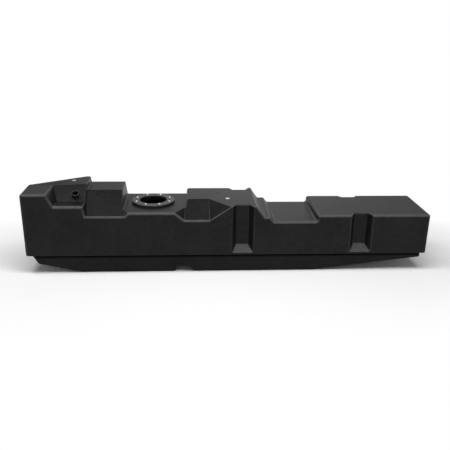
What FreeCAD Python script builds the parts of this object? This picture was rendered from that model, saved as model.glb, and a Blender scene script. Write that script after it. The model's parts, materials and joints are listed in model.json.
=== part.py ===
import FreeCAD, Part
import math
import os
import re
import Sketcher

# Midship fuel tank of a pickup truck: one hollow moulded shell, the ring round its sender
# opening with gasket, screws and inserts, the neck of the vent port and two flush plugs.
#
# Build frame of the sketches: x from the tank's left end, y from its front face, z from the
# belly. The finished pieces are placed so that the origin lies under the middle of the tank.
# Lengths are in millimetres, angles in degrees.

SIZES = {
    # Whole body
    "overall_width": 368.0,
    "left_end_width": 188.0,
    "corner_cut_gap": 25.0,
    "wall": 7.0,
    "lip_round": 14.0,
    "edge_round": 6.5,
    "left_end_draft": 4.0,
    "right_end_draft": 2.0,
    # Lengths of the sections, from the left end
    "end_block_length": 315.0,
    "shoulder_length": 198.0,
    "ring_left_margin": 47.8,
    "ring_right_margin": 68.2,
    "mid_slope_run": 41.0,
    "shelf_length": 37.0,
    "shelf_slope_run": 21.0,
    "low_deck_length": 234.0,
    "rear_block_length": 623.0,
    "step_lean": 0.15,
    # Rises of the tops, each above the one that it stands on
    "belly_height": 104.0,
    "low_deck_rise": 191.0,
    "rear_block_rise": 35.0,
    "shelf_rise": 27.0,
    "platform_rise": 53.0,
    "mid_block_rise": 32.0,
    "shoulder_rise": 73.0,
    "end_block_rise": 29.0,
    # Recess of the vent port in the end block
    "port_recess_depth": 66.0,
    "port_recess_length": 143.0,
    "port_side_run": 35.0,
    "port_step_gap": 14.0,
    "port_top_setback": 14.7,
    # Sloping recess in the shoulder
    "slope_lip_drop": 24.0,
    "slope_overrun": 25.0,
    "slope_side_run": 20.0,
    "slope_side_rise": 25.0,
    "slope_run": 187.0,
    "slope_rise": 97.0,
    # Sloping recess in the mid block
    "scoop_lip_drop": 47.0,
    "scoop_overlap": 12.0,
    "scoop_lip_length": 134.0,
    "scoop_left_run": 59.0,
    "scoop_left_rise": 47.0,
    "scoop_right_run": 119.0,
    "scoop_right_rise": 79.0,
    "scoop_run": 143.0,
    "scoop_rise": 79.0,
    # Strap grooves, front and back
    "scoop_to_groove": 4.0,
    "groove_to_mid_end": 13.0,
    "rear_groove_offset": 189.0,
    "groove_width": 114.0,
    "groove_side_run": 22.0,
    "groove_depth": 40.0,
    "mid_back_groove_depth": 43.0,
    "rear_back_groove_depth": 32.0,
    "groove_foot_rise": 13.0,
    "groove_ramp_lean": 0.93,
    # Belly under the ledge
    "belly_top_inset": 16.0,
    "belly_bottom_inset": 24.0,
    "belly_start": 34.0,
    "belly_heel_depth": 52.0,
    "belly_heel_run": 29.0,
    "belly_flat_start": 295.0,
    "belly_tail_run": 610.0,
    "belly_end_setback": 28.0,
    "belly_toe_depth": 29.0,
    # Notch through the belly
    "notch_offset": 508.0,
    "notch_steep_run": 18.0,
    "notch_height": 50.0,
    "notch_roof_run": 22.0,
    "notch_long_run": 66.0,
    # Sender ring, its gasket and the opening under them
    "ring_back_margin": 46.7,
    "ring_bore_radius": 75.0,
    "ring_width": 43.5,
    "ring_thickness": 10.0,
    "ring_chamfer": 1.5,
    "gasket_thickness": 2.0,
    "gasket_setback": 1.0,
    "shell_setback": 3.0,
    "land_thickness": 9.0,
    # Screws and threaded inserts of the ring
    "screw_circle_offset": 22.6,
    "screw_radius": 3.0,
    "screw_reach": 12.0,
    "screw_clearance": 0.3,
    "head_radius": 5.5,
    "head_height": 4.0,
    "head_round": 1.2,
    "insert_radius": 5.0,
    "insert_length": 13.0,
    "thread_clearance": 0.1,
    # Vent neck and its grommet
    "port_setback": 45.0,
    "port_rise": 39.5,
    "neck_radius": 22.0,
    "neck_step": 1.0,
    "neck_bore_radius": 15.0,
    "neck_stand": 26.0,
    "neck_tail": 8.0,
    "neck_chamfer": 1.5,
    "grommet_sleeve": 3.0,
    "grommet_lip_width": 5.0,
    "grommet_lip_height": 4.0,
    "grommet_tail_width": 6.0,
    "grommet_tail_height": 3.0,
    # Blanking plugs
    "end_plug_setback": 80.0,
    "end_plug_margin": 56.86,
    "mid_plug_offset": 226.0,
    "mid_plug_margin": 9.0,
    "plug_radius": 12.0,
    "plug_thickness": 2.0,
    "plug_stem_radius": 7.0,
    "plug_stem_length": 3.0,
    # Reach of the cutting forms past the skin
    "overcut": 30.0,
}

# Places and sizes that follow from the ones above
DERIVED = {
    "ledge_height": "belly_height",
    "low_deck_height": "ledge_height + low_deck_rise",
    "rear_block_height": "low_deck_height + rear_block_rise",
    "shelf_height": "low_deck_height + shelf_rise",
    "platform_height": "low_deck_height + platform_rise",
    "mid_block_height": "platform_height + mid_block_rise",
    "shoulder_height": "platform_height + shoulder_rise",
    "end_block_height": "shoulder_height + end_block_rise",
    "ring_outer_radius": "ring_bore_radius + ring_width",
    "screw_circle_radius": "ring_bore_radius + screw_circle_offset",
    "shoulder_start": "end_block_length",
    "shoulder_end": "shoulder_start + shoulder_length",
    "sender_x": "shoulder_end + ring_left_margin + ring_outer_radius",
    "sender_y": "overall_width - ring_back_margin - ring_outer_radius",
    "mid_block_start": "sender_x + ring_outer_radius + ring_right_margin",
    "scoop_lip_height": "platform_height - scoop_lip_drop",
    "scoop_lip_start": "mid_block_start - scoop_overlap",
    "scoop_lip_end": "scoop_lip_start + scoop_lip_length",
    "scoop_end": "scoop_lip_end + scoop_right_run * (mid_block_height - scoop_lip_height) / scoop_right_rise",
    "scoop_depth": "scoop_run * (mid_block_height - scoop_lip_height) / scoop_rise",
    "mid_groove_start": "scoop_end + scoop_to_groove",
    "mid_block_end": "mid_groove_start + groove_width + groove_to_mid_end",
    "shelf_start": "mid_block_end + mid_slope_run",
    "shelf_end": "shelf_start + shelf_length",
    "low_deck_start": "shelf_end + shelf_slope_run",
    "rear_block_start": "low_deck_start + low_deck_length",
    "rear_groove_start": "rear_block_start + rear_groove_offset",
    "overall_length": "rear_block_start + rear_block_length",
    "groove_foot_height": "ledge_height + groove_foot_rise",
    "corner_cut_width": "overall_width - left_end_width",
    "corner_cut_length": "end_block_length - corner_cut_gap",
    "belly_heel_height": "ledge_height - belly_heel_depth",
    "belly_toe_height": "ledge_height - belly_toe_depth",
    "belly_end": "overall_length - belly_end_setback",
    "belly_flat_end": "belly_end - belly_tail_run",
    "notch_start": "belly_flat_start + notch_offset",
    "port_floor_height": "end_block_height - port_recess_depth",
    "port_floor_start": "end_block_length - port_recess_length",
    "port_wall_rise": "port_recess_depth",
    "slope_lip_height": "platform_height - slope_lip_drop",
    "slope_lip_end": "shoulder_end + slope_overrun",
    "port_floor_depth": "(port_floor_height - port_step_gap - slope_lip_height) * slope_run / slope_rise",
    "slope_depth": "(shoulder_height - slope_lip_height) * slope_run / slope_rise",
    "port_wall_run": "slope_depth + port_top_setback - port_floor_depth",
    "port_wall_slant": "sqrt(port_wall_run ^ 2 + port_recess_depth ^ 2)",
    "port_x": "end_block_length - port_setback",
    "ring_seat": "platform_height + gasket_thickness",
    "ring_top": "ring_seat + ring_thickness",
    "screw_length": "ring_thickness + gasket_thickness + screw_reach",
    "land_underside": "platform_height - wall - land_thickness",
    "opening_radius": "ring_bore_radius + shell_setback",
    "neck_seat_radius": "neck_radius - neck_step",
    "port_hole_radius": "neck_seat_radius + grommet_sleeve",
    "end_plug_x": "end_block_length - end_plug_setback",
    "end_plug_y": "left_end_width + corner_cut_width * end_plug_x / corner_cut_length - end_plug_margin",
    "mid_plug_x": "mid_block_start + mid_plug_offset",
    "mid_plug_y": "scoop_depth + mid_plug_margin",
}

SCREW_COUNT = 8
FIRST_SCREW_ANGLE = 22.5
FRONT = FreeCAD.Placement(FreeCAD.Vector(), FreeCAD.Rotation(FreeCAD.Vector(1, 0, 0), 90))
SIDE = FreeCAD.Placement(FreeCAD.Vector(), FreeCAD.Rotation(FreeCAD.Vector(1, 1, 1), 120))
PLAN = FreeCAD.Placement()
TO_MIDDLE_X = "-0.5 * overall_length"
TO_MIDDLE_Y = "-0.5 * overall_width"


def make_sheet(doc):
    """Spreadsheet with one row for each dimension, the derived ones as formulas."""
    sheet = doc.addObject("Spreadsheet::Sheet", "Sizes")
    rows = list(SIZES.items())
    rows.append(("screw_count", SCREW_COUNT))
    rows.append(("first_screw_angle", FIRST_SCREW_ANGLE))
    rows.extend((alias, "=" + formula) for alias, formula in DERIVED.items())
    for row, (alias, content) in enumerate(rows, start=1):
        sheet.set(f"A{row}", alias)
        sheet.set(f"B{row}", str(content))
        sheet.setAlias(f"B{row}", alias)
    doc.recompute()
    return sheet


def sized(text):
    """Expression with each bare alias turned into a reference to the sheet."""
    def bound(match):
        word = match.group()
        return "Sizes." + word if word in SIZES or word in DERIVED else word
    return re.sub("[a-z_]+", bound, text)


def outline(doc, name, view, corners):
    """Closed straight-sided sketch whose corners are pairs of expressions on the sheet."""
    sketch = doc.addObject("Sketcher::SketchObject", name)
    sketch.Placement = view
    count = len(corners)
    turn = 2 * math.pi / count
    ring = [FreeCAD.Vector(math.cos(turn * i), math.sin(turn * i), 0) for i in range(count)]
    for i in range(count):
        sketch.addGeometry(Part.LineSegment(ring[i], ring[(i + 1) % count]), False)
    for i in range(count):
        sketch.addConstraint(Sketcher.Constraint("Coincident", i, 2, (i + 1) % count, 1))
    for i, corner in enumerate(corners):
        for kind, text in zip(("DistanceX", "DistanceY"), corner):
            index = sketch.addConstraint(Sketcher.Constraint(kind, -1, 1, i, 1, 1.0))
            sketch.setExpression(f"Constraints[{index}]", sized(text))
    return sketch


def prism(doc, name, sketch, along, length, back="0"):
    """Solid swept from a sketch along a direction."""
    solid = doc.addObject("Part::Extrusion", name)
    solid.Base = sketch
    solid.DirMode = "Custom"
    solid.Dir = FreeCAD.Vector(*along)
    solid.Solid = True
    solid.setExpression("LengthFwd", sized(length))
    solid.setExpression("LengthRev", sized(back))
    return solid


def common(doc, name, first, second):
    """What two forms share."""
    result = doc.addObject("Part::Common", name)
    result.Base = first
    result.Tool = second
    return result


def cut(doc, name, base, tool):
    """The base with the tool taken out."""
    result = doc.addObject("Part::Cut", name)
    result.Base = base
    result.Tool = tool
    result.Refine = True
    return result


def fuse(doc, name, first, second):
    """Two forms joined into one."""
    result = doc.addObject("Part::Fuse", name)
    result.Base = first
    result.Tool = second
    result.Refine = True
    return result


def thickened(doc, name, source, amount):
    """The same form grown, or shrunk, by an even thickness with its corners kept square."""
    result = doc.addObject("Part::Offset", name)
    result.Source = source
    result.Mode = "Skin"
    result.Join = "Intersection"
    result.setExpression("Value", sized(amount))
    return result


def placement(x, y, z, angle="0"):
    """Expression for a place in the build frame, with a tilt about the x direction."""
    return sized(f"create(<<placement>>; create(<<vector>>; {x}; {y}; {z});"
                 f" create(<<rotation>>; create(<<vector>>; 1; 0; 0); {angle}))")


def cylinder(doc, name, radius, height, x, y, z):
    """Upright round tool that stands on a point of the build frame."""
    solid = doc.addObject("Part::Cylinder", name)
    solid.setExpression("Radius", sized(radius))
    solid.setExpression("Height", sized(height))
    solid.setExpression("Placement", placement(x, y, z))
    return solid


def turned(doc, name, profile, bores=None, circle=None):
    """Body turned about its own z axis from a profile of radius and height.

    With bores, a second profile cut on the screw circle and repeated round it; with circle,
    the body itself stands on the screw circle and is repeated round it.
    """
    body = doc.addObject("PartDesign::Body", name)
    body.AllowCompound = True
    shift = circle if circle else "0"
    sketch = profile_sketch(doc, body, name + "_profile", profile, shift)
    solid = body.newObject("PartDesign::Revolution", name + "_turned")
    solid.Profile = sketch
    solid.ReferenceAxis = (axis_line(doc, body, name + "_axis", shift), [""])
    solid.Angle = 360
    last = solid
    if bores:
        doc.recompute()
        hole_sketch = profile_sketch(doc, body, name + "_bore_profile", bores, "screw_circle_radius")
        hole = body.newObject("PartDesign::Groove", name + "_bore")
        hole.Profile = hole_sketch
        hole.ReferenceAxis = (axis_line(doc, body, name + "_bore_axis", "screw_circle_radius"), [""])
        hole.Angle = 360
        last = hole
    if bores or circle:
        doc.recompute()
        pattern = body.newObject("PartDesign::PolarPattern", name + "_round")
        pattern.Originals = [last]
        pattern.Axis = (axis_line(doc, body, name + "_centre", "0"), [""])
        pattern.Angle = 360
        pattern.setExpression("Occurrences", "Sizes.screw_count")
        last = pattern
    body.Tip = last
    return body


def profile_sketch(doc, body, name, corners, shift):
    """Upright profile inside a body, its radii counted from a line at the given distance."""
    sketch = outline(doc, name, FRONT, [(f"{shift} + {radius}", height) for radius, height in corners])
    body.addObject(sketch)
    return sketch


def axis_line(doc, body, name, distance):
    """Upright datum line at a distance from the body's own axis."""
    line = body.newObject("PartDesign::Line", name)
    line.setExpression("Placement", placement(distance, "0", "0"))
    return line


def skyline(doc):
    """Whole upper body: end block, shoulder, sender platform, mid block, shelf, low deck, rear block."""
    body = outline(doc, "skyline_outline", FRONT, [
        ("left_end_draft", "ledge_height"),
        ("overall_length - right_end_draft", "ledge_height"),
        ("overall_length", "rear_block_height"),
        ("rear_block_start", "rear_block_height"),
        ("rear_block_start", "low_deck_height"),
        ("low_deck_start", "low_deck_height"),
        ("shelf_end", "shelf_height"),
        ("shelf_start", "shelf_height"),
        ("mid_block_end", "mid_block_height"),
        ("mid_block_start", "mid_block_height"),
        ("mid_block_start", "platform_height"),
        ("shoulder_end + step_lean * (shoulder_height - platform_height)", "platform_height"),
        ("shoulder_end", "shoulder_height"),
        ("shoulder_start + step_lean * (end_block_height - shoulder_height)", "shoulder_height"),
        ("shoulder_start", "end_block_height"),
        ("0", "end_block_height"),
    ])
    return prism(doc, "skyline", body, (0, 1, 0), "overall_width")


def belly(doc):
    """Narrower lower body under the ledge, with sloping ends and a notch right through."""
    front = outline(doc, "belly_front", FRONT, [
        ("belly_start", "ledge_height + 4 * wall"),
        ("belly_start", "ledge_height"),
        ("belly_start + belly_heel_run", "belly_heel_height"),
        ("belly_flat_start", "0"),
        ("notch_start", "0"),
        ("notch_start + notch_steep_run", "notch_height"),
        ("notch_start + notch_steep_run + notch_roof_run", "notch_height"),
        ("notch_start + notch_steep_run + notch_roof_run + notch_long_run", "0"),
        ("belly_flat_end", "0"),
        ("belly_end", "belly_toe_height"),
        ("belly_end", "ledge_height + 4 * wall"),
    ])
    flare = "(belly_bottom_inset - belly_top_inset) / ledge_height"
    side = outline(doc, "belly_side", SIDE, [
        (f"belly_top_inset - {flare} * 4 * wall", "ledge_height + 4 * wall"),
        ("belly_bottom_inset", "0"),
        ("overall_width - belly_bottom_inset", "0"),
        (f"overall_width - belly_top_inset + {flare} * 4 * wall", "ledge_height + 4 * wall"),
    ])
    return common(doc, "belly",
                  prism(doc, "belly_run", front, (0, 1, 0), "overall_width"),
                  prism(doc, "belly_width", side, (1, 0, 0), "overall_length"))


def port_recess(doc):
    """Recess in the front of the end block whose back wall leans away and holds the vent port."""
    top = "(end_block_height + overcut)"
    share = "(port_wall_rise + overcut) / port_wall_rise"
    front = outline(doc, "port_recess_front", FRONT, [
        ("port_floor_start", "port_floor_height"),
        ("shoulder_start + step_lean * port_wall_rise", "port_floor_height"),
        ("shoulder_start - step_lean * overcut", top),
        (f"port_floor_start - port_side_run * {share}", top),
    ])
    side = outline(doc, "port_recess_side", SIDE, [
        ("-1 * overcut", "port_floor_height"),
        ("port_floor_depth", "port_floor_height"),
        (f"port_floor_depth + port_wall_run * {share}", top),
        ("-1 * overcut", top),
    ])
    return common(doc, "port_recess",
                  prism(doc, "port_recess_run", front, (0, 1, 0), "overall_width", "overcut"),
                  prism(doc, "port_recess_width", side, (1, 0, 0), "shoulder_end"))


def shoulder_slope(doc):
    """Slope that falls to the front across the shoulder, from the step of the end block rightwards."""
    slope = outline(doc, "shoulder_slope_front", FRONT, [
        ("0", "slope_lip_height"),
        ("slope_lip_end", "slope_lip_height"),
        ("slope_lip_end + slope_side_run * (end_block_height - slope_lip_height) / slope_side_rise",
         "end_block_height"),
        ("0", "end_block_height"),
    ])
    slanted = prism(doc, "shoulder_slope_sweep", slope, (0, 1, 0), "overall_width", "overcut")
    slanted.setExpression("Dir.z", sized("slope_rise / slope_run"))
    step = outline(doc, "step_side", FRONT, [
        ("shoulder_start + step_lean * end_block_height", "0"),
        ("mid_block_start", "0"),
        ("mid_block_start", "2 * end_block_height"),
        ("shoulder_start - step_lean * end_block_height", "2 * end_block_height"),
    ])
    right_of_step = prism(doc, "right_of_step", step, (0, 1, 0), "2 * overall_width", "2 * overcut")
    return common(doc, "shoulder_slope", slanted, right_of_step)


def scoop(doc):
    """Sloping recess at the left front corner of the mid block."""
    front = outline(doc, "scoop_front", FRONT, [
        ("scoop_lip_start", "scoop_lip_height"),
        ("scoop_lip_end", "scoop_lip_height"),
        ("scoop_lip_end + scoop_right_run * (end_block_height - scoop_lip_height) / scoop_right_rise",
         "end_block_height"),
        ("scoop_lip_start - scoop_left_run * (end_block_height - scoop_lip_height) / scoop_left_rise",
         "end_block_height"),
    ])
    slanted = prism(doc, "scoop", front, (0, 1, 0), "overall_width", "overcut")
    slanted.setExpression("Dir.z", sized("scoop_rise / scoop_run"))
    return slanted


def strap_groove(doc, name, start, depth, back):
    """Upright channel for a strap, open at the top, with a ramp at its foot."""
    near = "overall_width" if back else "0"
    inward = "-1" if back else "1"
    lean_out = f"{near} - {inward} * overcut"
    lean_in = f"{near} + {inward} * 2 * {depth}"
    widen = f"groove_side_run * overcut / {depth}"
    plan = outline(doc, name + "_plan", PLAN, [
        (f"{start} - {widen}", lean_out),
        (f"{start} + groove_side_run", f"{near} + {inward} * {depth}"),
        (f"{start} + groove_width - groove_side_run", f"{near} + {inward} * {depth}"),
        (f"{start} + groove_width + {widen}", lean_out),
    ])
    side = outline(doc, name + "_side", SIDE, [
        (lean_out, "groove_foot_height - groove_ramp_lean * overcut"),
        (lean_in, f"groove_foot_height + groove_ramp_lean * 2 * {depth}"),
        (lean_in, "end_block_height"),
        (lean_out, "end_block_height"),
    ])
    return common(doc, name,
                  prism(doc, name + "_height", plan, (0, 0, 1), "end_block_height"),
                  prism(doc, name + "_width", side, (1, 0, 0), "overall_length"))


def corner_cut(doc):
    """Slanting cut across the back of the left end."""
    plan = outline(doc, "corner_cut_plan", PLAN, [
        ("-1 * overcut", "overall_width - corner_cut_width - overcut * corner_cut_width / corner_cut_length"),
        ("corner_cut_length + overcut * corner_cut_length / corner_cut_width", "overall_width + overcut"),
        ("-1 * overcut", "overall_width + overcut"),
    ])
    return prism(doc, "corner_cut", plan, (0, 0, 1), "end_block_height + overcut", "overcut")


def recess_tools(doc):
    """Every form that is sunk into the plain body."""
    return [
        port_recess(doc),
        shoulder_slope(doc),
        scoop(doc),
        strap_groove(doc, "mid_front_groove", "mid_groove_start", "groove_depth", False),
        strap_groove(doc, "mid_back_groove", "mid_groove_start", "mid_back_groove_depth", True),
        strap_groove(doc, "rear_front_groove", "rear_groove_start", "groove_depth", False),
        strap_groove(doc, "rear_back_groove", "rear_groove_start", "rear_back_groove_depth", True),
        corner_cut(doc),
    ]


def stays_sharp(sheet, edge):
    """True for the two inner edges where the shoulder's slope dies into the leaning step wall."""
    lean = sheet.get("step_lean")
    fall = sheet.get("slope_rise") / sheet.get("slope_run")
    for point in (vertex.Point for vertex in edge.Vertexes):
        step_x = sheet.get("shoulder_start") + lean * (sheet.get("end_block_height") - point.z)
        slope_z = sheet.get("slope_lip_height") + fall * point.y
        if abs(point.x - step_x) > 0.01 or abs(point.z - slope_z) > 0.01:
            return False
    return True


def is_lip(sheet, edge):
    """True for the edges that take the large round.

    They lie in the front or back face, run right across the body or stand at its ends, above
    the feet of the strap grooves.
    """
    width = sheet.get("overall_width")
    points = [vertex.Point for vertex in edge.Vertexes]
    if max(point.z for point in points) < sheet.get("groove_foot_height") + sheet.get("lip_round"):
        return False
    if all(point.y < 0.01 for point in points) or all(point.y > width - 0.01 for point in points):
        return True
    if all(point.x < sheet.get("left_end_draft") + 0.01 for point in points):
        return True
    if all(point.x > sheet.get("overall_length") - sheet.get("right_end_draft") - 0.01 for point in points):
        return True
    level = abs(points[0].z - points[-1].z) < 0.01 and abs(points[0].x - points[-1].x) < 0.01
    return level and edge.Length > 0.5 * width


def rounded_form(doc, tools, upper, lower):
    """Outer form of the shell with every edge but two rounded.

    The lips take the large round where neither they nor their neighbours are too short for it.
    """
    form = fuse(doc, "body_with_belly", upper, lower)
    for tool in tools:
        form = cut(doc, "body_less_" + tool.Name, form, tool)
    doc.recompute()
    sheet = doc.Sizes
    lip_round, edge_round = sheet.get("lip_round"), sheet.get("edge_round")
    shortest = {}
    for edge in form.Shape.Edges:
        for vertex in edge.Vertexes:
            corner = tuple(round(value, 3) for value in vertex.Point)
            shortest[corner] = min(edge.Length, shortest.get(corner, edge.Length))
    rounds = []
    for index, edge in enumerate(form.Shape.Edges, start=1):
        if stays_sharp(sheet, edge):
            continue
        corners = [tuple(round(value, 3) for value in vertex.Point) for vertex in edge.Vertexes]
        room = min(shortest[corner] for corner in corners)
        radius = lip_round if is_lip(sheet, edge) and room > 2 * lip_round else edge_round
        rounds.append((index, radius, radius))
    rounded = doc.addObject("Part::Fillet", "rounded_body")
    rounded.Base = form
    rounded.Edges = rounds
    return rounded


def hollow(doc, tools, upper, lower):
    """Space inside the shell, one wall thickness in from every plain face."""
    space = fuse(doc, "space", thickened(doc, "upper_space", upper, "-1 * wall"),
                 thickened(doc, "belly_space", lower, "-1 * wall"))
    for tool in tools:
        space = cut(doc, "space_less_" + tool.Name, space, thickened(doc, tool.Name + "_wall", tool, "wall"))
    land = cylinder(doc, "ring_land", "ring_outer_radius", "land_thickness + wall",
                    "sender_x", "sender_y", "land_underside")
    return cut(doc, "space_less_land", space, land)


def port_place(back_x="0", back_y="0"):
    """Placement on the back wall of the port recess, with z along the wall's outward normal."""
    return placement(f"port_x + {back_x}",
                     f"port_floor_depth + port_rise * port_wall_run / port_wall_slant + {back_y}",
                     "port_floor_height + port_rise * port_wall_rise / port_wall_slant",
                     "atan(port_wall_rise / port_wall_run)")


def screw_place(back_x="0", back_y="0", height="0"):
    """Placement over the middle of the sender opening, turned to the first screw."""
    return sized(f"create(<<placement>>; create(<<vector>>; sender_x + {back_x}; sender_y + {back_y};"
                 f" {height}); create(<<rotation>>; create(<<vector>>; 0; 0; 1); Sizes.first_screw_angle))")


def tank_shell(doc):
    """Hollow moulded body with its land, openings, insert bores and plug seats."""
    tools = recess_tools(doc)
    upper = skyline(doc)
    lower = belly(doc)
    shell = cut(doc, "shell_hollow", rounded_form(doc, tools, upper, lower), hollow(doc, tools, upper, lower))
    opening = cylinder(doc, "sender_opening", "opening_radius", "2 * overcut",
                       "sender_x", "sender_y", "platform_height - overcut")
    shell = cut(doc, "shell_opened", shell, opening)
    port_hole = turned(doc, "port_hole", [
        ("0", "-1 * overcut"),
        ("port_hole_radius", "-1 * overcut"),
        ("port_hole_radius", "overcut"),
        ("0", "overcut"),
    ])
    port_hole.setExpression("Placement", port_place())
    shell = cut(doc, "shell_ported", shell, port_hole)
    bores = turned(doc, "insert_bores", [
        ("0", "-1 * insert_length"),
        ("insert_radius", "-1 * insert_length"),
        ("insert_radius", "overcut"),
        ("0", "overcut"),
    ], circle="screw_circle_radius")
    bores.setExpression("Placement", screw_place(height="platform_height"))
    shell = cut(doc, "shell_bored", shell, bores)
    seats = (("end_plug_seat", "end_plug_x", "end_plug_y", "end_block_height"),
             ("mid_plug_seat", "mid_plug_x", "mid_plug_y", "mid_block_height"))
    for name, x, y, top in seats:
        seat = turned(doc, name, [
            ("0", "-1 * plug_thickness - plug_stem_length"),
            ("plug_stem_radius", "-1 * plug_thickness - plug_stem_length"),
            ("plug_stem_radius", "-1 * plug_thickness"),
            ("plug_radius", "-1 * plug_thickness"),
            ("plug_radius", "overcut"),
            ("0", "overcut"),
        ])
        seat.setExpression("Placement", placement(x, y, top))
        shell = cut(doc, "shell_less_" + name, shell, seat)
    shell.setExpression("Placement", placement(TO_MIDDLE_X, TO_MIDDLE_Y, "0"))
    shell.Label = "tank_shell"
    return shell


def ring_parts(doc):
    """Ring, gasket, screws and inserts round the sender opening."""
    hole = "screw_radius + screw_clearance"
    ring = turned(doc, "sender_ring", [
        ("ring_bore_radius", "0"),
        ("ring_outer_radius", "0"),
        ("ring_outer_radius", "ring_thickness - ring_chamfer"),
        ("ring_outer_radius - ring_chamfer", "ring_thickness"),
        ("ring_bore_radius + ring_chamfer", "ring_thickness"),
        ("ring_bore_radius", "ring_thickness - ring_chamfer"),
    ], bores=[("0", "-1 * overcut"), (hole, "-1 * overcut"), (hole, "overcut"), ("0", "overcut")])
    ring.setExpression("Placement", screw_place(TO_MIDDLE_X, TO_MIDDLE_Y, "ring_seat"))
    gasket = turned(doc, "ring_gasket", [
        ("ring_bore_radius + gasket_setback", "0"),
        ("ring_outer_radius - gasket_setback", "0"),
        ("ring_outer_radius - gasket_setback", "gasket_thickness"),
        ("ring_bore_radius + gasket_setback", "gasket_thickness"),
    ], bores=[("0", "-1 * overcut"), (hole, "-1 * overcut"), (hole, "overcut"), ("0", "overcut")])
    gasket.setExpression("Placement", screw_place(TO_MIDDLE_X, TO_MIDDLE_Y, "platform_height"))
    screws = turned(doc, "ring_screws", [
        ("0", "-1 * screw_length"),
        ("screw_radius", "-1 * screw_length"),
        ("screw_radius", "0"),
        ("head_radius", "0"),
        ("head_radius", "head_height - head_round"),
        ("head_radius - head_round", "head_height"),
        ("0", "head_height"),
    ], circle="screw_circle_radius")
    screws.setExpression("Placement", screw_place(TO_MIDDLE_X, TO_MIDDLE_Y, "ring_top"))
    bore = "screw_radius + thread_clearance"
    inserts = turned(doc, "ring_inserts", [
        (bore, "-1 * insert_length"),
        ("insert_radius", "-1 * insert_length"),
        ("insert_radius", "0"),
        (bore, "0"),
    ], circle="screw_circle_radius")
    inserts.setExpression("Placement", screw_place(TO_MIDDLE_X, TO_MIDDLE_Y, "platform_height"))
    return [ring, gasket, screws, inserts]


def port_parts(doc):
    """Short neck of the vent port and the rubber grommet that holds it in the wall."""
    neck = turned(doc, "vent_neck", [
        ("neck_bore_radius", "-1 * wall - grommet_tail_height - neck_tail"),
        ("neck_seat_radius", "-1 * wall - grommet_tail_height - neck_tail"),
        ("neck_seat_radius", "grommet_lip_height"),
        ("neck_radius", "grommet_lip_height"),
        ("neck_radius", "neck_stand - neck_chamfer"),
        ("neck_radius - neck_chamfer", "neck_stand"),
        ("neck_bore_radius + neck_chamfer", "neck_stand"),
        ("neck_bore_radius", "neck_stand - neck_chamfer"),
    ])
    grommet = turned(doc, "vent_grommet", [
        ("neck_seat_radius", "-1 * wall - grommet_tail_height"),
        ("neck_seat_radius + grommet_tail_width", "-1 * wall - grommet_tail_height"),
        ("neck_seat_radius + grommet_tail_width", "-1 * wall"),
        ("port_hole_radius", "-1 * wall"),
        ("port_hole_radius", "0"),
        ("neck_seat_radius + grommet_lip_width", "0"),
        ("neck_seat_radius + grommet_lip_width", "grommet_lip_height"),
        ("neck_seat_radius", "grommet_lip_height"),
    ])
    for piece in (neck, grommet):
        piece.setExpression("Placement", port_place(TO_MIDDLE_X, TO_MIDDLE_Y))
    return [neck, grommet]


def top_plugs(doc):
    """Two blanking plugs that lie flush in the tops of the end block and the mid block."""
    plugs = []
    for name, x, y, top in (("end_plug", "end_plug_x", "end_plug_y", "end_block_height"),
                            ("mid_plug", "mid_plug_x", "mid_plug_y", "mid_block_height")):
        plug = turned(doc, name, [
            ("0", "-1 * plug_thickness - plug_stem_length"),
            ("plug_stem_radius", "-1 * plug_thickness - plug_stem_length"),
            ("plug_stem_radius", "-1 * plug_thickness"),
            ("plug_radius", "-1 * plug_thickness"),
            ("plug_radius", "0"),
            ("0", "0"),
        ])
        plug.setExpression("Placement", placement(x, y, top))
        plugs.append(plug)
    pair = doc.addObject("Part::Compound", "top_plugs")
    pair.Links = plugs
    pair.setExpression("Placement", placement(TO_MIDDLE_X, TO_MIDDLE_Y, "0"))
    return pair


def main():
    doc = FreeCAD.newDocument("fuel_tank")
    make_sheet(doc)
    pieces = [tank_shell(doc)] + ring_parts(doc) + port_parts(doc) + [top_plugs(doc)]
    doc.recompute()
    for item in doc.Objects:
        if "Invalid" in item.State or "Error" in item.State:
            raise RuntimeError(f"{item.Name} did not compute: {item.State}")
    for piece in pieces:
        if piece.Shape.isNull() or not piece.Shape.isValid():
            raise RuntimeError(f"{piece.Label} has no valid shape")
    os.makedirs("parts", exist_ok=True)
    for piece in pieces:
        piece.Shape.exportStep(f"parts/{piece.Label}.step")


main()
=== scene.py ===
"""Midship fuel tank of a pickup truck on a pale studio floor. Lengths are in metres, angles in degrees."""
import json
import math
import bmesh
import bpy
from mathutils import Matrix, Vector


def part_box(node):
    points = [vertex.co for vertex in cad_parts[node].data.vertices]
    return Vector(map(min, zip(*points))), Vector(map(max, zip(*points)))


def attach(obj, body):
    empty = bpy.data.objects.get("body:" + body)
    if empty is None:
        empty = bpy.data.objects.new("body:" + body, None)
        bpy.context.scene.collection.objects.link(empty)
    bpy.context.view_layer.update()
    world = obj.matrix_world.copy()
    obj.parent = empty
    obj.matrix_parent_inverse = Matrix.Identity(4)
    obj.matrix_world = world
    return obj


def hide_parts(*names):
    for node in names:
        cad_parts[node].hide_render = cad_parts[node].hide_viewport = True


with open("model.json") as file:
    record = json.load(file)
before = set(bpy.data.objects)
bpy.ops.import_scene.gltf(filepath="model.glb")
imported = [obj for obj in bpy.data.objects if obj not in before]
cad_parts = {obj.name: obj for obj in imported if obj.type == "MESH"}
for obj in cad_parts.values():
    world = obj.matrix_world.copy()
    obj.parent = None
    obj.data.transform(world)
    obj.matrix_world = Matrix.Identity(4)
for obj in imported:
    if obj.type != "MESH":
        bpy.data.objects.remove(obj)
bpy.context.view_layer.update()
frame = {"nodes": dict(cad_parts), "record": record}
nodes = frame["nodes"]
mounts = {entry["name"]: entry for entry in frame["record"]["mounts"]}

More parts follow.
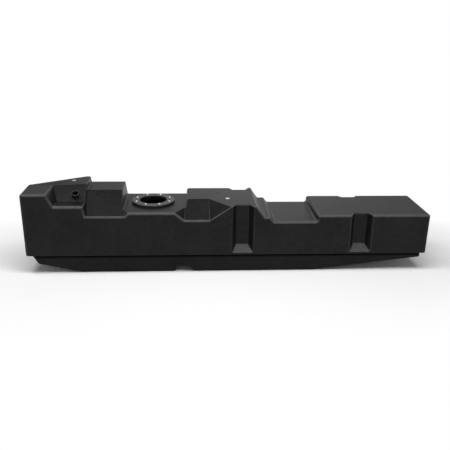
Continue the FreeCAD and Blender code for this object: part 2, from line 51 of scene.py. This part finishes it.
# Button-head screws of the sender ring
SCREW_COUNT = 8
SCREW_CIRCLE = 0.0976
FIRST_SCREW = 22.5
HEAD_RADIUS = 0.0055
HEAD_HEIGHT = 0.004
SHANK_RADIUS = 0.003
SHANK_LENGTH = 0.024

# Shares of the head's height below its dome, and of its radius on top of the dome and in the socket;
# facets round head and shank; the most that a screw is turned at random, in radians, and the seed
SKIRT_SHARE = 0.45
CROWN_SHARE = 0.72
SOCKET_SHARE = 0.42
HEAD_FACETS = 32
SHANK_FACETS = 20
MOST_TURN = 1.05
TURN_SEED = 7

# Vent neck: radius in the grommet, heights above and below the sloping wall, roundness of its lip, how far
# its barrel is set in, and how far below the mouth its bead starts and is full
NECK_SEAT = 0.021
NECK_STAND = 0.026
NECK_TAIL = 0.018
NECK_LIP_ROUND = 0.0028
NECK_BARREL_INSET = 0.0006
BEAD_START = 0.0085
BEAD_FULL = 0.0060

# Grommet in the tank's wall: radii and heights of its lip outside and its tail inside, and its sleeve
GROMMET_LIP = 0.026
GROMMET_LIP_HEIGHT = 0.004
GROMMET_RIM_ROUND = 0.0014
GROMMET_TAIL = 0.027
GROMMET_TAIL_HEIGHT = 0.003
GROMMET_SLEEVE = 0.003
WALL = 0.007

# Chamfers of neck and grommet, and the facets round both
SMALL_CHAMFER = 0.001
TURNS = 72

# Loose triangles are joined within this distance. Facets that turn less than the gather angles shade as
# one surface. Edges of the metal pieces are rounded over where they turn more than the last angle.
JOINED_WITHIN = 2e-6
SHELL_GATHER = 20.0
SMALL_PIECE_GATHER = 28.0
RING_ROUND_OVER = 0.0006
PLUG_ROUND_OVER = 0.0005
BEVELLED_ABOVE = 40.0

# Outward rounds of the shell with a painted highlight where they face the lamp: the way they face, the
# cosines at which the highlight begins and is full, the depths between which it fades to its least
# behind the front, the widest facet of a round, the least turn between two of its facets and the most
# within one flat
HIGHLIGHT_FACING = (0.0, -0.6, 0.8)
RIM_HIGHLIGHT_FROM = 0.50
RIM_HIGHLIGHT_FULL = 0.85
RIM_FRONT = -0.160
RIM_BEHIND = -0.125
RIM_LEAST = 0.12
RIM_WIDEST_FACET = 0.004
RIM_LEAST_TURN = 2.0
FLAT_MOST_TURN = 0.6

# Sloping feet of the strap grooves that face the overhead lamp, with an even painted highlight
FEET_BELOW = 0.2
FEET_FACING = 0.97
FEET_PAINTED_HIGHLIGHT = 0.55

# Underside of the ledge that runs round the tank above its belly. The belly has painted shade: a
# near-black coat that hardly shines, darkest close under the ledge, where the ledge's shadow falls.
LEDGE_HEIGHT = 0.104
PAINTED_SHADE_FADE = 0.024
PAINTED_SHADE_FULL = 0.009

# Grey levels of the shell: plastic between two tones, scuffed, painted highlight and painted shade
SHELL_DARK = 0.0040
SHELL_PALE = 0.0104
SHELL_SCUFFED = 0.024
PAINTED_HIGHLIGHT_GREY = 0.075
PAINTED_SHADE_BLACK = 0.0005

# Tints of the metals
INSERT_BRASS = (0.72, 0.55, 0.24, 1.0)
PLUG_METAL = (0.93, 0.93, 0.92, 1.0)
SCREW_STEEL = (0.95, 0.95, 0.94, 1.0)

# Studio: floor, its plain white beyond an ellipse round the tank, the world's strength overhead and what
# comes on top at middle height, near the horizon and in a patch behind the tank, and the overhead lamp
FLOOR_REACH = 30.0
FLOOR_LEVEL = -0.0004
FLOOR_WHITE = (0.93, 0.93, 0.93, 1.0)
SHADOW_HALF_LENGTH = 1.5
SHADOW_HALF_DEPTH = 0.75
SHADOW_FADES = (0.9, 1.35)
WORLD_OVERHEAD = 0.14
WORLD_MIDDLE = 0.46
WORLD_LOW = 0.40
WORLD_PATCH = 0.90
PATCH_DIRECTION = (0.12, 0.94, 0.31)
LAMP_PLACE = (-0.2, -0.85, 3.0)
LAMP_AIM = (0.0, -0.05, 0.3)
LAMP_LENGTH = 4.4
LAMP_DEPTH = 1.1
LAMP_WATTS = 108.0

# Camera, fitted to the outline of the tank in the photograph
CAMERA_PLACE = (-0.2199, -3.2006, 1.3600)
CAMERA_PITCH = 19.7
CAMERA_YAW = 3.66
CAMERA_ROLL = -0.89
CAMERA_LENS = 47.944
SENSOR_WIDTH = 36.0


def mount(name):
    """Middle, axis, radius and length of a mount of the frame, in metres."""
    found = mounts[name]
    radius, length = (found["dims"][size] / 1000.0 for size in ("r_mm", "length_mm"))
    return Vector(found["pos_m"]), Vector(found["axis"]), radius, length


class Shade:
    """A node socket that can be used in ordinary arithmetic."""

    def __init__(self, tree, socket):
        self.tree = tree
        self.socket = socket

    def maths(self, operation, first, second=None):
        step = self.tree.nodes.new("ShaderNodeMath")
        step.operation = operation
        for slot, value in zip(step.inputs, (first, second)):
            if isinstance(value, Shade):
                self.tree.links.new(value.socket, slot)
            elif value is not None:
                slot.default_value = value
        return Shade(self.tree, step.outputs[0])

    def __add__(self, other):
        return self.maths("ADD", self, other)

    def __radd__(self, other):
        return self.maths("ADD", other, self)

    def __sub__(self, other):
        return self.maths("SUBTRACT", self, other)

    def __rsub__(self, other):
        return self.maths("SUBTRACT", other, self)

    def __mul__(self, other):
        return self.maths("MULTIPLY", self, other)

    def __rmul__(self, other):
        return self.maths("MULTIPLY", other, self)

    def __truediv__(self, other):
        return self.maths("DIVIDE", self, other)

    def above(self, low, high):
        """0 below low, 1 above high, and a straight rise between them."""
        rise = (self - low) / (high - low)
        return rise.maths("MINIMUM", rise.maths("MAXIMUM", rise, 0.0), 1.0)


class ShaderTree:
    """A shader node tree whose nodes are added with one method."""

    def __init__(self, tree):
        self.tree = tree

    def node(self, kind, settings=None, inputs=None, out=0):
        """Adds a node, sets it up, fills or links its sockets and gives one of its outputs."""
        step = self.tree.nodes.new(kind)
        for key, value in (settings or {}).items():
            setattr(step, key, value)
        for key, value in (inputs or {}).items():
            if isinstance(value, Shade):
                self.tree.links.new(value.socket, step.inputs[key])
            else:
                step.inputs[key].default_value = value
        return Shade(self.tree, step.outputs[out])


class Finish(ShaderTree):
    """A procedural material on object coordinates."""

    def __init__(self, name):
        self.material = bpy.data.materials.new(name)
        self.material.use_nodes = True
        super().__init__(self.material.node_tree)
        self.shader = self.tree.nodes["Principled BSDF"]
        self.place = self.node("ShaderNodeTexCoord", out="Object")

    def noise(self, scale, detail=2.0, roughness=0.5, place=None):
        return self.node("ShaderNodeTexNoise", None, {
            "Vector": place or self.place, "Scale": scale, "Detail": detail, "Roughness": roughness}, "Fac")

    def stretched(self, x, y, z):
        return self.node("ShaderNodeMapping", None, {"Vector": self.place, "Scale": (x, y, z)})

    def mix(self, amount, first, second):
        """Blend of two colours."""
        return self.node("ShaderNodeMix", {"data_type": "RGBA"}, {0: amount, 6: first, 7: second}, 2)

    def bump(self, height, distance, strength=1.0, below=None):
        inputs = {"Height": height, "Distance": distance, "Strength": strength}
        if below:
            inputs["Normal"] = below
        return self.node("ShaderNodeBump", None, inputs)

    def surface(self, **sockets):
        """Sets or links sockets of the shader, with underscores for spaces."""
        for key, value in sockets.items():
            slot = self.shader.inputs[key.replace("_", " ")]
            if isinstance(value, Shade):
                self.tree.links.new(value.socket, slot)
            else:
                slot.default_value = value
        return self.material


def grey(level):
    """Nearly neutral grey, a trace blue."""
    return (level, level, level * 1.03, 1.0)


def moulded_polyethylene():
    """Black rotomoulded plastic: cloudy tone, fine orange peel, faint scuffs."""
    finish = Finish("moulded_polyethylene")
    cloud = finish.noise(5.0, detail=4.0, roughness=0.6)
    mottle = finish.noise(45.0, detail=3.0, roughness=0.6)
    peel = finish.noise(260.0, detail=2.0, roughness=0.5)
    grain = finish.noise(1400.0, detail=1.0, roughness=0.5)
    scuff_field = finish.noise(30.0, detail=5.0, roughness=0.65, place=finish.stretched(0.35, 1.0, 1.6))
    scuffs = scuff_field.above(0.60, 0.72) * mottle.above(0.45, 0.65)
    tone = cloud * 0.6 + mottle * 0.4
    colour = finish.mix(tone.above(0.38, 0.62), grey(SHELL_DARK), grey(SHELL_PALE))
    colour = finish.mix(scuffs * 0.30, colour, grey(SHELL_SCUFFED))
    # Painted highlight: the rim attribute paints the front's outward rounds and the groove feet paler.
    rim = finish.node("ShaderNodeAttribute", {"attribute_name": "rim"}, out="Fac")
    colour = finish.mix(rim * (0.7 + mottle.above(0.3, 0.7) * 0.3), colour, grey(PAINTED_HIGHLIGHT_GREY))
    # Painted shade: the belly is darkened to near black, most close under the ledge where its shadow falls.
    height = finish.node("ShaderNodeSeparateXYZ", None, {0: finish.place}, 2)
    shade_near_ledge = height.above(LEDGE_HEIGHT - PAINTED_SHADE_FADE, LEDGE_HEIGHT - PAINTED_SHADE_FULL)
    painted_shade = (0.2 + shade_near_ledge * 0.8) * (1.0 - height.above(LEDGE_HEIGHT - 0.001, LEDGE_HEIGHT))
    colour = finish.mix(painted_shade, colour, grey(PAINTED_SHADE_BLACK))
    waves = finish.bump(cloud, distance=0.0016, strength=0.5)
    skin = finish.bump(peel * 0.7 + grain * 0.3, distance=0.00026, strength=0.8, below=waves)
    return finish.surface(
        Base_Color=colour,
        Roughness=0.30 + tone * 0.20 + scuffs * 0.12,
        # Metallic with the near-black colour keeps the painted shade from reflecting.
        Metallic=painted_shade * 0.9,
        Specular_IOR_Level=0.15,
        Normal=skin)


def coated_ring():
    """Semi-gloss black coat on the sender ring."""
    finish = Finish("coated_ring")
    mottle = finish.noise(120.0, detail=3.0, roughness=0.6)
    grain = finish.noise(1500.0, detail=2.0, roughness=0.5)
    rub_field = finish.noise(60.0, detail=5.0, roughness=0.7, place=finish.stretched(1.0, 1.0, 0.4))
    rubs = rub_field.above(0.58, 0.70)
    colour = finish.mix(mottle.above(0.35, 0.65), grey(0.012), grey(0.020))
    colour = finish.mix(rubs * 0.4, colour, grey(0.045))
    return finish.surface(
        Base_Color=colour,
        Roughness=0.30 + mottle * 0.15 + rubs * 0.1,
        Specular_IOR_Level=0.5,
        Normal=finish.bump(grain, distance=0.00012, strength=0.5))


def black_rubber(name, level):
    """Dull rubber with a fine powdery bloom."""
    finish = Finish(name)
    bloom = finish.noise(90.0, detail=4.0, roughness=0.6)
    grain = finish.noise(1800.0, detail=2.0, roughness=0.5)
    colour = finish.mix(bloom.above(0.4, 0.7), grey(level), grey(level * 1.8))
    return finish.surface(
        Base_Color=colour,
        Roughness=0.62 + bloom * 0.2,
        Specular_IOR_Level=0.3,
        Normal=finish.bump(grain, distance=0.0001, strength=0.5))


def neck_plastic():
    """Harder, glossier black plastic of the vent neck."""
    finish = Finish("neck_plastic")
    mottle = finish.noise(150.0, detail=3.0, roughness=0.6)
    turning = finish.noise(900.0, detail=2.0, roughness=0.5)
    return finish.surface(
        Base_Color=finish.mix(mottle, grey(0.006), grey(0.010)),
        Roughness=0.30 + mottle * 0.12,
        Specular_IOR_Level=0.4,
        Normal=finish.bump(turning, distance=0.00008, strength=0.4))


def bright_metal(name, tint, roughness):
    """Plated or plain metal with fine handling marks."""
    finish = Finish(name)
    cloud = finish.noise(220.0, detail=3.0, roughness=0.6)
    marks = finish.noise(500.0, detail=4.0, roughness=0.7, place=finish.stretched(1.0, 0.2, 1.0))
    dull = tuple(channel * 0.82 for channel in tint[:3]) + (1.0,)
    return finish.surface(
        Base_Color=finish.mix(cloud.above(0.4, 0.7), tint, dull),
        Metallic=1.0,
        Roughness=roughness + marks * 0.12,
        Normal=finish.bump(marks, distance=0.00004, strength=0.4))


def finished(name, mesh, material, slot, *replaced):
    """Adds a piece that stands at the origin, rides on the tank and stands for CAD nodes."""
    piece = bpy.data.objects.new(name, mesh)
    bpy.context.scene.collection.objects.link(piece)
    mesh.materials.clear()
    mesh.materials.append(material)
    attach(piece, "root")
    if replaced:
        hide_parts(*replaced)


def evaluated(piece):
    """Plain mesh of an object with its modifiers worked in; the object is removed."""
    graph = bpy.context.evaluated_depsgraph_get()
    graph.update()
    mesh = bpy.data.meshes.new_from_object(piece.evaluated_get(graph), depsgraph=graph)
    bpy.data.objects.remove(piece)
    return mesh


def merged_copy(node):
    """The node's own mesh with its loose triangles joined."""
    mesh = nodes[node].data.copy()
    work = bmesh.new()
    work.from_mesh(mesh)
    bmesh.ops.remove_doubles(work, verts=work.verts, dist=JOINED_WITHIN)
    bmesh.ops.recalc_face_normals(work, faces=work.faces)
    work.to_mesh(mesh)
    work.free()
    return mesh


def smoothed(mesh, gather_angle, round_over=0.0, segments=2):
    """The mesh with its edges rounded over, if wanted, and even shading on flats and rounds.

    Each corner of a face takes the normal of the faces round it that turn less than the angle,
    by their area, so a flat stays flat up to the start of its rounded edge.
    """
    if round_over:
        carrier = bpy.data.objects.new("carrier", mesh)
        bpy.context.scene.collection.objects.link(carrier)
        bevel = carrier.modifiers.new("round_over", "BEVEL")
        bevel.width = round_over
        bevel.segments = segments
        bevel.limit_method = "ANGLE"
        bevel.angle_limit = math.radians(BEVELLED_ABOVE)
        mesh = evaluated(carrier)
    around = [[] for _ in mesh.vertices]
    for face in mesh.polygons:
        face.use_smooth = True
        for vertex in face.vertices:
            around[vertex].append(face.index)
    flat = [face.normal.copy() for face in mesh.polygons]
    area = [face.area for face in mesh.polygons]
    near = math.cos(math.radians(gather_angle))
    normals = []
    for face in mesh.polygons:
        own = flat[face.index]
        for vertex in face.vertices:
            total = Vector((0.0, 0.0, 0.0))
            for other in around[vertex]:
                if own.dot(flat[other]) > near:
                    total += flat[other] * area[other]
            normals.append(total.normalized() if total.length > 0.0 else own)
    mesh.normals_split_custom_set(normals)
    return mesh


def flat_groups(mesh, sides):
    """Number of the flat that each facet lies in, and the mean width of each flat."""
    level = math.cos(math.radians(FLAT_MOST_TURN))
    group = [-1] * len(mesh.polygons)
    widths = []
    for start in range(len(mesh.polygons)):
        if group[start] >= 0:
            continue
        group[start] = len(widths)
        waiting = [start]
        area = 0.0
        points = []
        while waiting:
            face = mesh.polygons[waiting.pop()]
            area += face.area
            points += [mesh.vertices[vertex].co for vertex in face.vertices]
            for key in face.edge_keys:
                for other in sides[key]:
                    if group[other] < 0 and face.normal.dot(mesh.polygons[other].normal) > level:
                        group[other] = len(widths)
                        waiting.append(other)
        highest = [max(point[axis] for point in points) for axis in range(3)]
        lowest = [min(point[axis] for point in points) for axis in range(3)]
        widths.append(area / (Vector(highest) - Vector(lowest)).length)
    return group, widths


def span(value, low, high):
    """0 below low, 1 above high, and a straight rise between them."""
    return min(max((value - low) / (high - low), 0.0), 1.0)


def facets_on_rounds(mesh, sides, is_strip):
    """For each facet, whether it is a narrow strip of an outward round."""
    most = math.cos(math.radians(SHELL_GATHER))
    least = math.cos(math.radians(RIM_LEAST_TURN))
    on_round = [False] * len(mesh.polygons)
    for pair in sides.values():
        first, second = (mesh.polygons[index] for index in (pair[0], pair[-1]))
        turns = most < first.normal.dot(second.normal) < least
        if turns and first.normal.dot(second.center - first.center) < 0.0:
            for index in pair:
                on_round[index] = is_strip[index]
    return on_round


def with_painted_rim_highlights(mesh):
    """The mesh with a painted highlight attribute: up to 1 on the front's outward rounds, 0 on flats.

    The feet of the strap grooves get the painted highlight too, evenly.
    """
    toward = Vector(HIGHLIGHT_FACING).normalized()
    sides = {}
    for face in mesh.polygons:
        for key in face.edge_keys:
            sides.setdefault(key, []).append(face.index)
    group, widths = flat_groups(mesh, sides)
    is_strip = [widths[number] < RIM_WIDEST_FACET for number in group]
    on_round = facets_on_rounds(mesh, sides, is_strip)
    touches_flat = [False] * len(mesh.vertices)
    for face in mesh.polygons:
        if not is_strip[face.index]:
            for vertex in face.vertices:
                touches_flat[vertex] = True
    values = []
    for face in mesh.polygons:
        # Low groove feet that face the lamp get an even painted highlight.
        if face.center.z < FEET_BELOW and face.normal.dot(toward) > FEET_FACING:
            values += [FEET_PAINTED_HIGHLIGHT] * len(face.vertices)
            continue
        # Outward rounds that face the lamp get a painted highlight, fading behind the front.
        for vertex in face.vertices:
            painted_highlight = 0.0
            if on_round[face.index] and not touches_flat[vertex]:
                point = mesh.vertices[vertex]
                behind = span(point.co.y, RIM_FRONT, RIM_BEHIND)
                facing = span(point.normal.dot(toward), RIM_HIGHLIGHT_FROM, RIM_HIGHLIGHT_FULL)
                painted_highlight = facing * (1.0 - (1.0 - RIM_LEAST) * behind)
            values.append(painted_highlight)
    mesh.attributes.new("rim", "FLOAT", "CORNER").data.foreach_set("value", values)
    return mesh


def turned(profile, turns, place):
    """Closed ring swept round z from a closed profile of (radius, height)."""
    work = bmesh.new()
    loops = []
    for step in range(turns):
        angle = 2 * math.pi * step / turns
        loops.append([work.verts.new((radius * math.cos(angle), radius * math.sin(angle), height))
                      for radius, height in profile])
    count = len(profile)
    for step in range(turns):
        here, there = loops[step], loops[(step + 1) % turns]
        for i in range(count):
            work.faces.new((here[i], there[i], there[(i + 1) % count], here[(i + 1) % count]))
    bmesh.ops.recalc_face_normals(work, faces=work.faces)
    bmesh.ops.transform(work, matrix=place, verts=work.verts)
    mesh = bpy.data.meshes.new("turned")
    work.to_mesh(mesh)
    work.free()
    return mesh


def quarter(centre, radius, start, steps=5):
    """Points of a quarter round from a start angle, anticlockwise."""
    angles = [math.radians(start + 90.0 * i / steps) for i in range(steps + 1)]
    return [(centre[0] + radius * math.cos(a), centre[1] + radius * math.sin(a)) for a in angles]


class Maker:
    """A geometry node tree whose nodes are added with one method."""

    def __init__(self, name):
        self.tree = bpy.data.node_groups.new(name, "GeometryNodeTree")
        self.tree.interface.new_socket("Geometry", in_out="OUTPUT", socket_type="NodeSocketGeometry")
        self.given = None

    def sizes(self, kinds):
        """Named inputs, as pairs of name and socket type."""
        for name, kind in kinds.items():
            self.tree.interface.new_socket(name, in_out="INPUT", socket_type=kind)
        self.given = self.tree.nodes.new("NodeGroupInput")

    def size(self, name):
        return self.given.outputs[name]

    def node(self, kind, settings=None, inputs=None, out=0):
        step = self.tree.nodes.new(kind)
        for key, value in (settings or {}).items():
            setattr(step, key, value)
        for key, value in (inputs or {}).items():
            for link in value if isinstance(value, list) else [value]:
                if isinstance(link, bpy.types.NodeSocket):
                    self.tree.links.new(link, step.inputs[key])
                else:
                    step.inputs[key].default_value = link
        return step.outputs[out]

    def maths(self, operation, first, second):
        return self.node("ShaderNodeMath", {"operation": operation}, {0: first, 1: second})

    def raised(self, mesh, height):
        """The mesh moved up by a height."""
        lift = self.node("ShaderNodeCombineXYZ", None, {"Z": height})
        return self.node("GeometryNodeTransform", None, {"Geometry": mesh, "Translation": lift})

    def close(self, geometry):
        out = self.tree.nodes.new("NodeGroupOutput")
        self.tree.links.new(geometry, out.inputs[0])


def ring_screw_maker():
    """Button-head screws with hexagon sockets, stood on a circle."""
    maker = Maker("ring_screw_maker")
    lengths = ("Circle Radius", "First Angle", "Head Radius", "Head Height", "Shank Radius", "Shank Length")
    maker.sizes({"Count": "NodeSocketInt", **{name: "NodeSocketFloat" for name in lengths},
                 "Seat": "NodeSocketVector", "Material": "NodeSocketMaterial"})
    head_radius, head_height = maker.size("Head Radius"), maker.size("Head Height")
    skirt = maker.maths("MULTIPLY", head_height, SKIRT_SHARE)
    crown = maker.maths("MULTIPLY", head_height, 1.0 - SKIRT_SHARE)
    rim = maker.node("GeometryNodeMeshCylinder", None, {
        "Vertices": HEAD_FACETS, "Radius": head_radius, "Depth": skirt}, "Mesh")
    rim = maker.raised(rim, maker.maths("MULTIPLY", skirt, 0.5))
    dome = maker.node("GeometryNodeMeshCone", None, {
        "Vertices": HEAD_FACETS, "Radius Bottom": head_radius, "Depth": crown,
        "Radius Top": maker.maths("MULTIPLY", head_radius, CROWN_SHARE)}, "Mesh")
    dome = maker.raised(dome, skirt)
    head = maker.node("GeometryNodeMeshBoolean", {"operation": "UNION"}, {"Mesh 2": [rim, dome]}, "Mesh")
    socket = maker.node("GeometryNodeMeshCylinder", None, {
        "Vertices": 6, "Depth": head_height,
        "Radius": maker.maths("MULTIPLY", head_radius, SOCKET_SHARE)}, "Mesh")
    socket = maker.raised(socket, head_height)
    head = maker.node("GeometryNodeMeshBoolean", {"operation": "DIFFERENCE"},
                      {"Mesh 1": head, "Mesh 2": [socket]}, "Mesh")
    shank_length = maker.size("Shank Length")
    shank = maker.node("GeometryNodeMeshCylinder", None, {
        "Vertices": SHANK_FACETS, "Radius": maker.size("Shank Radius"), "Depth": shank_length}, "Mesh")
    shank = maker.raised(shank, maker.maths("MULTIPLY", shank_length, -0.5))
    screw = maker.node("GeometryNodeJoinGeometry", None, {"Geometry": [head, shank]})
    circle = maker.node("GeometryNodeMeshCircle", None, {
        "Vertices": maker.size("Count"), "Radius": maker.size("Circle Radius")})
    spin = maker.node("FunctionNodeRandomValue", {"data_type": "FLOAT"},
                      {2: 0.0, 3: MOST_TURN, 8: TURN_SEED}, 1)
    turn = maker.node("ShaderNodeCombineXYZ", None, {"Z": spin})
    screws = maker.node("GeometryNodeInstanceOnPoints", None, {
        "Points": circle, "Instance": screw, "Rotation": turn})
    start = maker.node("ShaderNodeCombineXYZ", None, {"Z": maker.size("First Angle")})
    screws = maker.node("GeometryNodeTransform", None, {
        "Geometry": screws, "Rotation": start, "Translation": maker.size("Seat")})
    solid = maker.node("GeometryNodeRealizeInstances", None, {"Geometry": screws})
    maker.close(maker.node("GeometryNodeSetMaterial", None, {
        "Geometry": solid, "Material": maker.size("Material")}))
    return maker.tree


def made(tree, name, **sizes):
    """Mesh that a node tree makes with the given sizes, without the double edges of its cuts."""
    carrier = bpy.data.objects.new(name, bpy.data.meshes.new(name))
    bpy.context.scene.collection.objects.link(carrier)
    modifier = carrier.modifiers.new(name, "NODES")
    modifier.node_group = tree
    wanted = {key.replace("_", " "): value for key, value in sizes.items()}
    for item in tree.interface.items_tree:
        if item.item_type == "SOCKET" and item.in_out == "INPUT":
            modifier[item.identifier] = wanted[item.name]
    mesh = evaluated(carrier)
    mesh.validate()
    return mesh


def tank_pieces():
    shell = with_painted_rim_highlights(smoothed(merged_copy("tank_shell"), SHELL_GATHER))
    finished("moulded_shell", shell, moulded_polyethylene(), "shell_plastic", "tank_shell")
    ring = smoothed(merged_copy("sender_ring"), SMALL_PIECE_GATHER, RING_ROUND_OVER)
    finished("coated_sender_ring", ring, coated_ring(), "ring_metal", "sender_ring")
    gasket = smoothed(merged_copy("ring_gasket"), SMALL_PIECE_GATHER)
    dull = black_rubber("gasket_rubber_finish", 0.010)
    finished("flat_gasket", gasket, dull, "gasket_rubber", "ring_gasket")
    inserts = smoothed(merged_copy("ring_inserts"), SMALL_PIECE_GATHER)
    brass = bright_metal("insert_brass_finish", INSERT_BRASS, 0.3)
    finished("threaded_inserts", inserts, brass, "insert_brass", "ring_inserts")
    plugs = smoothed(merged_copy("top_plugs"), SMALL_PIECE_GATHER, PLUG_ROUND_OVER)
    bright = bright_metal("bright_plug", PLUG_METAL, 0.34)
    finished("blanking_plugs", plugs, bright, "plug_metal", "top_plugs")


def ring_screws():
    centre = mount("sender_opening")[0]
    seat = Vector((centre.x, centre.y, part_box("sender_ring")[1].z))
    steel = bright_metal("plated_screw", SCREW_STEEL, 0.62)
    mesh = made(ring_screw_maker(), "button_screws", Count=SCREW_COUNT, Circle_Radius=SCREW_CIRCLE,
                First_Angle=math.radians(FIRST_SCREW), Head_Radius=HEAD_RADIUS, Head_Height=HEAD_HEIGHT,
                Shank_Radius=SHANK_RADIUS, Shank_Length=SHANK_LENGTH, Seat=seat, Material=steel)
    finished("button_screws", mesh, steel, "screw_steel", "ring_screws")


def vent_neck():
    """Neck and grommet, turned round the axis of the frame's vent neck where it meets the wall."""
    middle, axis, outer, length = mount("vent_neck_pin")
    bore = mount("vent_neck_bore")[2]
    foot = middle - axis * (GROMMET_LIP_HEIGHT + length / 2)
    place = Matrix.Translation(foot) @ Matrix.Rotation(math.atan2(-axis.y, axis.z), 4, "X")
    lip = NECK_LIP_ROUND
    barrel = outer - NECK_BARREL_INSET
    neck = [(bore, -NECK_TAIL), (NECK_SEAT - SMALL_CHAMFER, -NECK_TAIL),
            (NECK_SEAT, -NECK_TAIL + SMALL_CHAMFER), (NECK_SEAT, GROMMET_LIP_HEIGHT),
            (barrel, GROMMET_LIP_HEIGHT), (barrel, NECK_STAND - BEAD_START),
            (outer, NECK_STAND - BEAD_FULL)]
    neck += quarter((outer - lip, NECK_STAND - lip), lip, 0.0)
    neck += quarter((bore + lip, NECK_STAND - lip), lip, 90.0)
    finished("turned_neck", smoothed(turned(neck, TURNS, place), SMALL_PIECE_GATHER), neck_plastic(),
             "neck_plastic", "vent_neck")
    soft = GROMMET_RIM_ROUND
    tail = -WALL - GROMMET_TAIL_HEIGHT
    through = NECK_SEAT + GROMMET_SLEEVE
    grommet = [(NECK_SEAT, tail), (GROMMET_TAIL - SMALL_CHAMFER, tail),
               (GROMMET_TAIL, tail + SMALL_CHAMFER), (GROMMET_TAIL, -WALL),
               (through, -WALL), (through, 0.0), (GROMMET_LIP, 0.0)]
    grommet += quarter((GROMMET_LIP - soft, GROMMET_LIP_HEIGHT - soft), soft, 0.0)
    grommet += [(NECK_SEAT, GROMMET_LIP_HEIGHT)]
    finished("wall_grommet", smoothed(turned(grommet, TURNS, place), SMALL_PIECE_GATHER),
             black_rubber("grommet_rubber_finish", 0.014), "grommet_rubber", "vent_grommet")


def studio_floor():
    """Pale floor that keeps the tank's shadow near it and is plain white farther off."""
    mesh = bpy.data.meshes.new("studio_floor")
    signs = ((-1, -1), (1, -1), (1, 1), (-1, 1))
    corners = [(x * FLOOR_REACH, y * FLOOR_REACH, FLOOR_LEVEL) for x, y in signs]
    mesh.from_pydata(corners, [], [(0, 1, 2, 3)])
    floor = bpy.data.objects.new("studio_floor", mesh)
    bpy.context.scene.collection.objects.link(floor)
    finish = Finish("pale_floor")
    finish.surface(Base_Color=FLOOR_WHITE, Roughness=0.9, Specular_IOR_Level=0.1)
    ellipse = finish.stretched(1.0 / SHADOW_HALF_LENGTH, 1.0 / SHADOW_HALF_DEPTH, 1.0)
    reach = finish.node("ShaderNodeVectorMath", {"operation": "LENGTH"}, {0: ellipse}, "Value")
    far = reach.above(*SHADOW_FADES)
    rays = ("Camera", "Glossy", "Transmission")
    seen = [finish.node("ShaderNodeLightPath", out=f"Is {ray} Ray") for ray in rays]
    white = finish.node("ShaderNodeEmission", None, {"Color": (1.0, 1.0, 1.0, 1.0), "Strength": 1.0})
    lit = Shade(finish.tree, finish.shader.outputs[0])
    both = finish.node("ShaderNodeMixShader", None, {
        0: (seen[0] + seen[1] + seen[2]).above(0.0, 1.0) * far, 1: lit, 2: white})
    finish.tree.links.new(both.socket, finish.tree.nodes["Material Output"].inputs["Surface"])
    mesh.materials.append(finish.material)


def studio_world():
    """White near the horizon, softer above it and dim overhead, with a paler patch behind the tank."""
    world = bpy.data.worlds.new("studio_world")
    bpy.context.scene.world = world
    world.use_nodes = True
    sky = ShaderTree(world.node_tree)
    sky.tree.nodes.clear()
    direction = sky.node("ShaderNodeTexCoord", out="Generated")
    height = sky.node("ShaderNodeSeparateXYZ", None, {0: direction}, 2)
    low = 1.0 - height.above(0.04, 0.14)
    middle = 1.0 - height.above(0.20, 0.70)
    patch = sky.node("ShaderNodeVectorMath", {"operation": "DISTANCE"},
                     {0: direction, 1: PATCH_DIRECTION}, "Value")
    glow = 1.0 - patch.above(0.0, 0.30)
    strength = WORLD_OVERHEAD + middle * WORLD_MIDDLE + low * WORLD_LOW + glow * WORLD_PATCH
    lit = sky.node("ShaderNodeBackground", None, {"Color": (1, 1, 1, 1), "Strength": strength})
    out = sky.tree.nodes.new("ShaderNodeOutputWorld")
    sky.tree.links.new(lit.socket, out.inputs["Surface"])


def overhead_softbox():
    """Soft rectangular lamp above and a little before the tank."""
    light = bpy.data.lights.new("overhead_softbox", "AREA")
    light.shape = "RECTANGLE"
    light.size = LAMP_LENGTH
    light.size_y = LAMP_DEPTH
    light.energy = LAMP_WATTS
    lamp = bpy.data.objects.new("overhead_softbox", light)
    bpy.context.scene.collection.objects.link(lamp)
    lamp.location = LAMP_PLACE
    lamp.rotation_euler = (Vector(LAMP_AIM) - Vector(LAMP_PLACE)).to_track_quat("-Z", "Y").to_euler()


def studio_camera():
    pitch, yaw, roll = (math.radians(a) for a in (CAMERA_PITCH, CAMERA_YAW, CAMERA_ROLL))
    forward = Vector((math.sin(yaw) * math.cos(pitch), math.cos(yaw) * math.cos(pitch), -math.sin(pitch)))
    level_right = Vector((math.cos(yaw), -math.sin(yaw), 0.0))
    level_down = forward.cross(level_right)
    right = level_right * math.cos(roll) + level_down * math.sin(roll)
    down = level_down * math.cos(roll) - level_right * math.sin(roll)
    data = bpy.data.cameras.new("studio_camera")
    data.lens = CAMERA_LENS
    data.sensor_width = SENSOR_WIDTH
    data.clip_end = 100.0
    camera = bpy.data.objects.new("studio_camera", data)
    bpy.context.scene.collection.objects.link(camera)
    turn = Matrix((right, -down, -forward)).transposed().to_4x4()
    camera.matrix_world = Matrix.Translation(CAMERA_PLACE) @ turn
    bpy.context.scene.camera = camera


tank_pieces()
ring_screws()
vent_neck()
studio_floor()
studio_world()
overhead_softbox()
studio_camera()
bpy.context.scene.view_settings.view_transform = "Standard"
